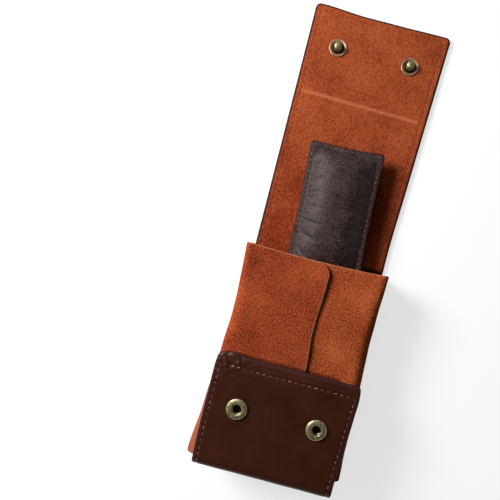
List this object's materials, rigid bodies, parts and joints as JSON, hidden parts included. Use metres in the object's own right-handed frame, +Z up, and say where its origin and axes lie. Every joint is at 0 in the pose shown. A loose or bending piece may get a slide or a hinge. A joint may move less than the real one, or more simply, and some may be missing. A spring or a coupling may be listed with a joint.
{
  "type": "watch travel case",
  "caption": "Open leather pouch for a watch: lined lid strip, suede wings that form a sleeve, a sliding stitched cushion and a snap-fastened bottom flap.",
  "frame": {"origin": "middle of the open case's footprint, on the table", "axes": "+X to the case's right seen from above, +Y from the bottom to the lid's free end, +Z up from the back panel to the front"},
  "size_m": [0.0846, 0.2638, 0.0349],
  "materials": {
    "strip_leather": "satin",
    "lid_suede": "matte",
    "left_wing_suede": "matte",
    "right_wing_suede": "matte",
    "antique_brass": "aged satin",
    "spring_wire": "dull",
    "cushion_leather": "grained",
    "cushion_foam": "foam"
  },
  "bodies": {
    "case_back": {"back_leather": "strip_leather", "back_lining": "lid_suede", "left_wing": "left_wing_suede", "right_wing": "right_wing_suede"},
    "lid_spine": {"spine_leather": "strip_leather", "spine_lining": "lid_suede"},
    "lid_front": {"lid_middle_leather": "strip_leather", "lid_middle_lining": "lid_suede", "lid_end_leather": "strip_leather", "lid_end_lining": "lid_suede", "snap_studs": "antique_brass", "stud_posts": "antique_brass"},
    "bottom_wall": {"bottom_leather": "strip_leather", "bottom_lining": "lid_suede"},
    "bottom_flap": {"flap_leather": "strip_leather", "flap_lining": "lid_suede", "snap_sockets": "antique_brass", "socket_springs": "spring_wire", "socket_posts": "antique_brass"},
    "cushion": {"cushion_front": "cushion_leather", "cushion_back": "cushion_leather", "cushion_core": "cushion_foam"}
  },
  "joints": [
    {"name": "lid_back_fold", "type": "hinge", "parent": "case_back", "child": "lid_spine", "pos_m": [0, -0.01085, 0.0027], "axis": [1, 0, 0], "range_deg": [0, 90], "deforming": ["spine_leather", "spine_lining"]},
    {"name": "lid_front_fold", "type": "hinge", "parent": "lid_spine", "child": "lid_front", "pos_m": [0, 0.02225, 0.0027], "axis": [1, 0, 0], "range_deg": [0, 90], "deforming": ["lid_middle_leather", "lid_middle_lining"]},
    {"name": "cushion_slide", "type": "slide", "parent": "case_back", "child": "cushion", "axis": [0, -1, 0], "range_m": [0, 0.065]},
    {"name": "bottom_back_fold", "type": "hinge", "parent": "case_back", "child": "bottom_wall", "pos_m": [0, -0.12995, 0.0019], "axis": [1, 0, 0], "range_deg": [0, 90], "deforming": ["bottom_leather", "bottom_lining"]},
    {"name": "bottom_front_fold", "type": "hinge", "parent": "bottom_wall", "child": "bottom_flap", "pos_m": [0, -0.12995, 0.0311], "axis": [1, 0, 0], "range_deg": [0, 86.4]}
  ],
  "couplings": [
    {"joint": "lid_front_fold", "follows": "lid_back_fold", "ratio": 1},
    {"joint": "cushion_slide", "follows": "lid_back_fold", "m_per_rad": 0.04138},
    {"joint": "bottom_front_fold", "follows": "bottom_back_fold", "ratio": 0.96}
  ]
}
